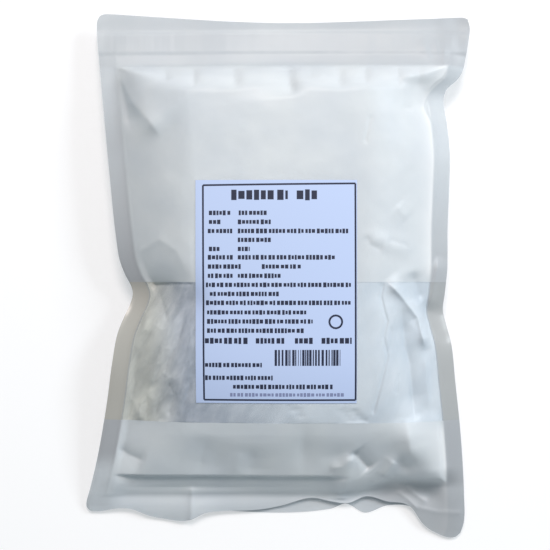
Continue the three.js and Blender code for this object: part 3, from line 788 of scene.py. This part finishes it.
def rows_to_edge(y, edge_v, cells):
    """A grid of u and v from a height up the bag to its bottom (0) or top (1) edge, lowest row first."""
    u, t = np.meshgrid(ACROSS, np.linspace(0, 1, cells + 1))
    v = mix(edge_v, v_at(u, y), t) if edge_v == 0 else mix(v_at(u, y), edge_v, t)
    return u, v


def joined(lower, upper):
    """Two grids of u and v as one, where the upper one's first row is the lower one's last."""
    return [np.concatenate([low, high[1:]]) for low, high in zip(lower, upper)]


FLANGE_ROWS = rows_to_edge(FLANGE_LINE_Y, 0, 22)
FOOT_ROWS = rows_between(FLANGE_LINE_Y, WINDOW[0], 84)
WINDOW_ROWS = rows_between(*WINDOW, 144, FINE_ACROSS)
UPPER_ROWS = rows_between(WINDOW[1], HEADER_LINE_Y, 122)
HEADER_ROWS = rows_to_edge(HEADER_LINE_Y, 1, 40)


def surface(at, height):
    """The grid of points at a place's x and y and a height."""
    return np.stack([at.x, at.y, height], -1)


def shares_at(at):
    """How far the film shows weld grey, partly painted shade, and a painted highlight, at each point of
    a closed sheet's two faces.

    The weld share is 1 on the side seals and less up the bag and at the lower left. It is part of that
    on the header and the flange, more at the right, and 0 over the filling. The painted highlight falls
    from 1 inside the side seals, above the clear band at the right and at the lower right.
    """
    from_side = np.minimum(at.inside["left"], at.inside["right"])
    on_side = rise(-from_side, *PAST_SEAM)
    on_header = rise(-at.inside["top"], *PAST_SEAM)
    on_flange = rise(-at.inside["bottom"], *PAST_FLANGE_LINE)
    right = rise(at.x, *TO_RIGHT)
    up = rise(at.y + WELD_AND_SHADE_SHOWN.sooner * right, *UP_SEAL)
    low_left = rise(-at.y, *DOWN_TO_FOOT) * rise(-at.x, *TO_RIGHT)
    # The seals' grey, partly painted shade, fades up the bag and towards the lower left.
    side = on_side * mix(1, WELD_AND_SHADE_SHOWN.high, np.maximum(up, low_left))
    header = mix(WELD_AND_SHADE_SHOWN.header, WELD_AND_SHADE_SHOWN.header_right, rise(at.x, *HEADER_TO_RIGHT))
    header = header + WELD_AND_SHADE_SHOWN.corner * rise(at.x, *HEADER_CORNER)
    flange = mix(WELD_AND_SHADE_SHOWN.flange, WELD_AND_SHADE_SHOWN.flange_right, rise(at.x, *FLANGE_TO_RIGHT))
    weld = mix(mix(side, header, on_header), flange, on_flange)
    # Where the painted highlight lies: by the right seal, above and below the clear band.
    lower_right = rise(WINDOW[0] - at.y, *PAST_WINDOW) * rise(at.x, *FOOT_TO_RIGHT)
    upper_right = rise(at.y - WINDOW[1], *PAST_WINDOW) * right
    near_side = (1 - on_side) * np.exp(-np.maximum(from_side, 0) / PAINTED_HIGHLIGHT_REACH)
    painted_highlight = near_side * np.maximum(upper_right, lower_right) * (1 - on_header)
    return {"weld": np.tile(weld.ravel(), 2), "painted_highlight": np.tile(painted_highlight.ravel(), 2)}


def front_film(name, u, v, finish, slot, replaces=()):
    """A closed sheet of the front wall: its outer face, and one film's thickness in along the normal."""
    at = place(u, v)
    outer = surface(at, front_height(at))
    inner = outer - FILM * normals_of(outer)
    make_piece(name, closed_sheet(outer, inner), finish, replaces, shares_at(at))


def starch(name, u, v, finish=POWDER):
    """A stretch of the powder between the side seals: a closed mass just inside the two walls."""
    inner = (u[0] >= SEAL_U[0]) & (u[0] <= SEAL_U[1])
    at = place(u[:, inner], v[:, inner])
    outer = surface(at, front_height(at))
    top = outer - (FILM + POWDER_GAP) * normals_of(outer)
    under = surface(at, back_height(at))
    low = under + (FILM + POWDER_GAP) * normals_of(under)
    top[..., 2] = np.maximum(top[..., 2], low[..., 2] + THINNEST_POWDER)
    make_piece(name, closed_sheet(top, low), finish)


front_film("film_foot", *joined(FLANGE_ROWS, FOOT_ROWS), FROSTED, "film", ["pouch"])
front_film("film_window", *WINDOW_ROWS, CLEAR, "window")
front_film("film_top", *joined(UPPER_ROWS, HEADER_ROWS), FROSTED, "film")
starch("starch_foot", *FOOT_ROWS)
starch("starch_window", *WINDOW_ROWS, SMEARED)
starch("starch_top", *UPPER_ROWS)


def back_flange_v(u):
    """The v at which the back wall's own flange ends on the column u."""
    x = mix(BACK_FLANGE_EDGE[0][0], BACK_FLANGE_EDGE[-1][0], u)
    (y,) = back_flange_edge(x)
    return v_at(u, y)


def back_film():
    """The back wall, from the top edge down to the edge of its own flange, flat on the table."""
    u, t = np.meshgrid(ACROSS, spread(0, (0.08, 12), (1, 150)))
    at = place(u, mix(back_flange_v(u), 1, t))
    outer = surface(at, back_height(at))
    inner = outer + FILM * normals_of(outer)
    make_piece("film_back", closed_sheet(inner, outer), FROSTED, shares=shares_at(at))


def gusset():
    """The folded film between the flanges: in under the front one, round its root, and out again.

    t runs over three stretches: along the front flange's underside, down a half wave that reaches in
    under the filling, and along the top of the back flange.
    """
    u, t = np.meshgrid(ACROSS, spread(0, (1, 14), (2, 16), (3, 14)))
    from_corner = np.clip(np.minimum(u - SEAL_U[0], SEAL_U[1] - u) / GUSSET.corner, 0, 1)
    line_v = v_at(u, FLANGE_LINE_Y)
    front_v = mix(0, line_v, np.clip(t, 0, 1))
    back_v = mix(line_v, back_flange_v(u), np.clip(t - 2, 0, 1))
    at = place(u, np.where(t <= 1, front_v, np.where(t >= 2, back_v, line_v)))
    wave = np.clip(t - 1, 0, 1)
    high = at.seam - GUSSET.under_seam
    low = back_height(at) + FILM + GUSSET.over_back
    y = at.y + GUSSET.bulge * from_corner * np.sin(math.pi * wave)
    middle = np.stack([at.x, y, mix(high, np.minimum(low, high), step(wave))], -1)
    half = 0.5 * FILM * normals_of(middle)
    # The gusset carries a share of the weld grey, partly painted shade.
    weld = {"weld": np.full(2 * u.size, GUSSET.weld)}
    make_piece("film_gusset", closed_sheet(middle + half, middle - half), FROSTED, shares=weld)


back_film()
gusset()


def zip_strip():
    """The zip between the walls: a flat tape with one rib above its middle line and one below it."""
    u, s = np.meshgrid(np.linspace(*ZIP.ends, 240), np.linspace(-1, 1, 33))
    at = place(u, v_at(u, ZIP.y + s * ZIP.width / 2))
    from_rib = np.abs(np.abs(s) - RIB.at)
    half = RIB.tape + RIB.height * rise(-from_rib, -RIB.half_width, RIB.flank)
    sheet = closed_sheet(surface(at, at.seam + half), surface(at, at.seam - half))
    make_piece("zip_strip", sheet, ZIP_PLASTIC, ["zip_strip"])


zip_strip()

# ---- The label ----

# Passes that on_front makes to settle on the u and v of a point.
SETTLING_PASSES = 6


def on_front(x, y):
    """Height of the front film over a point of the table, by a few passes to find its u and v."""
    u = np.full(np.shape(x), 0.5)
    v = np.full(np.shape(x), 0.5)
    for _ in range(SETTLING_PASSES):
        x_left, _ = left_edge(mix(BOTTOM_LEFT[1], TOP_LEFT[1], v))
        x_right, _ = right_edge(mix(BOTTOM_RIGHT[1], TOP_RIGHT[1], v))
        u = (x - x_left) / (x_right - x_left)
        v = v_at(u, y)
    return front_height(place(u, v))


def label():
    """The paper label: it follows the film, and its thickness stands up from it."""
    x, y = np.meshgrid(
        LABEL.x + LABEL.width * np.linspace(-0.5, 0.5, 61),
        LABEL.y + LABEL.height * np.linspace(-0.5, 0.5, 81),
    )
    low = np.stack([x, y, on_front(x, y) + LABEL.gap], -1)
    top = low + LABEL.thickness * normals_of(low)
    make_piece("label", closed_sheet(top, low), PAPER, ["label"])


def printed(name, quads, finish, cells=(1, 1)):
    """Fields of ink on the label, each with four corners [right, down] from its top left corner."""
    t, s = np.meshgrid(np.linspace(0, 1, cells[0] + 1), np.linspace(0, 1, cells[1] + 1))
    a, b, c, d = (np.array(quads, float)[:, k, None, None, :] for k in range(4))
    t, s = t[None, ..., None], s[None, ..., None]
    spots = mix(mix(a, b, t), mix(d, c, t), s)
    x = LABEL.x - LABEL.width / 2 + spots[..., 0]
    y = LABEL.y + LABEL.height / 2 - spots[..., 1]
    z = on_front(x, y) + LABEL.gap + LABEL.thickness + INK.gap
    points, faces = [], []
    for k in range(len(quads)):
        low = np.stack([x[k], y[k], z[k]], -1)[::-1]
        field, around = closed_sheet(low + (0, 0, INK.thickness), low)
        faces.append(around + k * len(field))
        points.append(field)
    make_piece(name, (np.concatenate(points), np.concatenate(faces)), finish)


def box(left, top, right, bottom):
    """The four corners of an upright field."""
    return [(left, top), (right, top), (right, bottom), (left, bottom)]


def stroke(start, end, width):
    """The four corners of a straight stroke from a point to another."""
    (x0, y0), (x1, y1) = start, end
    scale = width / 2 / math.hypot(x1 - x0, y1 - y0)
    dx, dy = (y1 - y0) * scale, (x0 - x1) * scale
    return [(x0 + dx, y0 + dy), (x1 + dx, y1 + dy), (x1 - dx, y1 - dy), (x0 - dx, y0 - dy)]


# Blocks in a group, from the first number to below the second, and the least share of a row's height
# and the least width that one has.
BLOCK = SimpleNamespace(in_group=(2, 7), lowest=0.7, narrowest=0.5)


def blocks(spans, middle, height, rng, width=(1.1, 1.9), gap=0.5):
    """A greeked row: over each span, groups of small blocks of uneven widths and heights."""
    made = []
    for start, end in spans:
        x = start
        while x < end - width[0]:
            for _ in range(rng.integers(*BLOCK.in_group)):
                across = min(rng.uniform(*width), end - x)
                tall = height * rng.uniform(BLOCK.lowest, 1)
                if across > BLOCK.narrowest:
                    made.append(box(x, middle - tall / 2, x + across, middle + tall / 2))
                x += across + gap
            x += gap
    return made


# The print, measured right and down from the label's top left corner. A row of blocks is its spans,
# the height of its middle and its own height.
BORDER = [(4.2, 2.9), (90.0, 1.9), (90.4, 124.2), (4.6, 124.2)]
BORDER_WIDTH = 1.0
TITLE = ([(20.2, 52.0), (57.0, 72.8)], 8.4, 6.2)
TITLE_BLOCKS = {"width": (2.6, 4.2), "gap": 1.0}
# Rows of print: how far down the label, and where each stretch starts and ends across it.
ROWS = [
    (18.5, [(7.6, 20.5), (24.4, 40.2)]),
    (23.6, [(7.6, 16.0), (23.9, 42.4)]),
    (28.7, [(7.0, 22.8), (23.9, 88.0)]),
    (33.7, [(23.9, 43.5)]),
    (38.8, [(7.6, 13.8), (23.9, 30.6)]),
    (43.5, [(7.0, 21.1), (23.9, 78.4)]),
    (48.7, [(7.0, 26.1), (37.4, 59.8)]),
    (53.9, [(7.0, 21.1), (23.9, 48.6)]),
    (59.0, [(5.9, 88.0)]),
    (64.1, [(8.1, 46.9)]),
    (69.1, [(5.9, 88.0)]),
    (74.5, [(6.5, 62.7)]),
    (79.6, [(6.5, 66.0)]),
    (84.8, [(6.5, 62.7)]),
    (104.2, [(5.3, 37.4)]),
    (111.5, [(5.3, 43.5)]),
    (116.6, [(21.1, 77.3)]),
]
ROW_HEIGHT = 2.8
DATE = ([(5.3, 30.0), (34.0, 50.0), (56.0, 66.0), (71.0, 88.0)], 90.5, 1.3 * ROW_HEIGHT)
DATE_BLOCKS = {"width": (1.4, 2.4), "gap": 0.6}
SMALL_ROW = ([(19.4, 85.7)], 121.2, 0.8 * ROW_HEIGHT)
PRINT_SEED = 3
BARS = SimpleNamespace(left=44.6, right=81.6, top=95.6, bottom=104.6, thin=0.33, widest=4, seed=7)
MARK = SimpleNamespace(x=79.0, y=79.8, radius=3.6, width=1.1, sides=28)


def bars():
    """The bar block: bars of one to four thin widths and spaces of one to three, drawn from a seed."""
    rng = np.random.default_rng(BARS.seed)
    made = []
    x = BARS.left
    while x < BARS.right - BARS.widest * BARS.thin:
        wide = BARS.thin * rng.integers(1, BARS.widest + 1)
        made.append(box(x, BARS.top, x + wide, BARS.bottom))
        x += wide + BARS.thin * rng.integers(1, BARS.widest)
    made.append(box(BARS.right - BARS.thin, BARS.top, BARS.right, BARS.bottom))
    return made


def ring():
    """The plain mark: a ring of short strokes."""
    turns = 2 * math.pi * np.arange(MARK.sides + 1) / MARK.sides
    spots = [(MARK.x + MARK.radius * math.cos(a), MARK.y + MARK.radius * math.sin(a)) for a in turns]
    return [stroke(start, end, MARK.width) for start, end in zip(spots, spots[1:])]


def label_print():
    """The print on the label: a border, a title, rows, a bar block and one plain mark."""
    rng = np.random.default_rng(PRINT_SEED)
    border = [stroke(*corners, BORDER_WIDTH) for corners in zip(BORDER, BORDER[1:] + BORDER[:1])]
    printed("label_border", border, DARK_INK, (44, 1))
    printed("label_title", blocks(*TITLE, rng, **TITLE_BLOCKS), DARK_INK)
    rows = [block for middle, spans in ROWS for block in blocks(spans, middle, ROW_HEIGHT, rng)]
    printed("label_rows", rows + blocks(*DATE, rng, **DATE_BLOCKS), DARK_INK)
    printed("label_small_row", blocks(*SMALL_ROW, rng), THIN_INK)
    printed("label_bars", bars(), DARK_INK, (1, 4))
    printed("label_mark", ring(), DARK_INK)


label()
label_print()

# ---- Camera, light and floor ----

CAMERA = SimpleNamespace(x=-1.05, y=1.55, height=800, width_seen=328.35, sensor=36)
LIGHT_DISTANCE = 1.6
LIGHT_SIZE = 0.5
# The floor: half its width in metres, how far it lies under the bag in millimetres, and its glow.
FLOOR = SimpleNamespace(half=3, below=0.1, glow=0.4)
ROOM = SimpleNamespace(colour=(0.852, 0.955, 1.0, 1), strength=0.4)
# Clear surfaces that one ray may pass: each sheet of film has two.
CLEAR_LAYERS = 24


def camera():
    """The photo's camera: straight above, seeing width_seen millimetres of the table."""
    data = bpy.data.cameras.new("camera")
    data.sensor_fit = "HORIZONTAL"
    data.sensor_width = CAMERA.sensor
    data.lens = CAMERA.sensor * CAMERA.height / CAMERA.width_seen
    made = bpy.data.objects.new("camera", data)
    made.location = (CAMERA.x * MM, CAMERA.y * MM, CAMERA.height * MM)
    bpy.context.scene.collection.objects.link(made)
    bpy.context.scene.camera = made


def softbox(name, turned, raised, power, colour):
    """A square area light that faces the bag from LIGHT_DISTANCE metres, turned from +X and raised."""
    data = bpy.data.lights.new(name, "AREA")
    data.shape = "SQUARE"
    data.size = LIGHT_SIZE
    data.energy = power
    data.color = colour
    made = bpy.data.objects.new(name, data)
    turn = math.radians(turned)
    lift = math.radians(raised)
    towards = (math.cos(turn) * math.cos(lift), math.sin(turn) * math.cos(lift), math.sin(lift))
    made.location = [LIGHT_DISTANCE * part for part in towards]
    made.rotation_euler = made.location.to_track_quat("Z", "Y").to_euler()
    bpy.context.scene.collection.objects.link(made)


# Painted board, matte white. Its faint glow keeps the ground nearly white under the soft shadow.
def floor():
    """The table that the bag lies on."""
    mesh = bpy.data.meshes.new("floor")
    corners = [(x * FLOOR.half, y * FLOOR.half, 0) for x, y in ((-1, -1), (1, -1), (1, 1), (-1, 1))]
    mesh.from_pydata(corners, [], [(0, 1, 2, 3)])
    glow = {"Emission Color": (1, 1, 1, 1), "Emission Strength": FLOOR.glow}
    mesh.materials.append(plain("white_table", "c8c9cb", 0.7, **glow))
    made = bpy.data.objects.new("floor", mesh)
    made.location.z = -FLOOR.below * MM
    bpy.context.scene.collection.objects.link(made)


def room():
    """Even pale blue light from all round."""
    world = bpy.data.worlds.new("room")
    world.use_nodes = True
    background = world.node_tree.nodes["Background"]
    background.inputs["Color"].default_value = ROOM.colour
    background.inputs["Strength"].default_value = ROOM.strength
    bpy.context.scene.world = world


camera()
floor()
room()
softbox("light_key", turned=30, raised=35, power=12.2, colour=(0.88, 0.95, 1.0))
softbox("light_top", turned=90, raised=56, power=15.6, colour=(1.0, 0.89, 0.84))
bpy.context.scene.view_settings.view_transform = "Standard"
bpy.context.scene.cycles.transparent_max_bounces = CLEAR_LAYERS
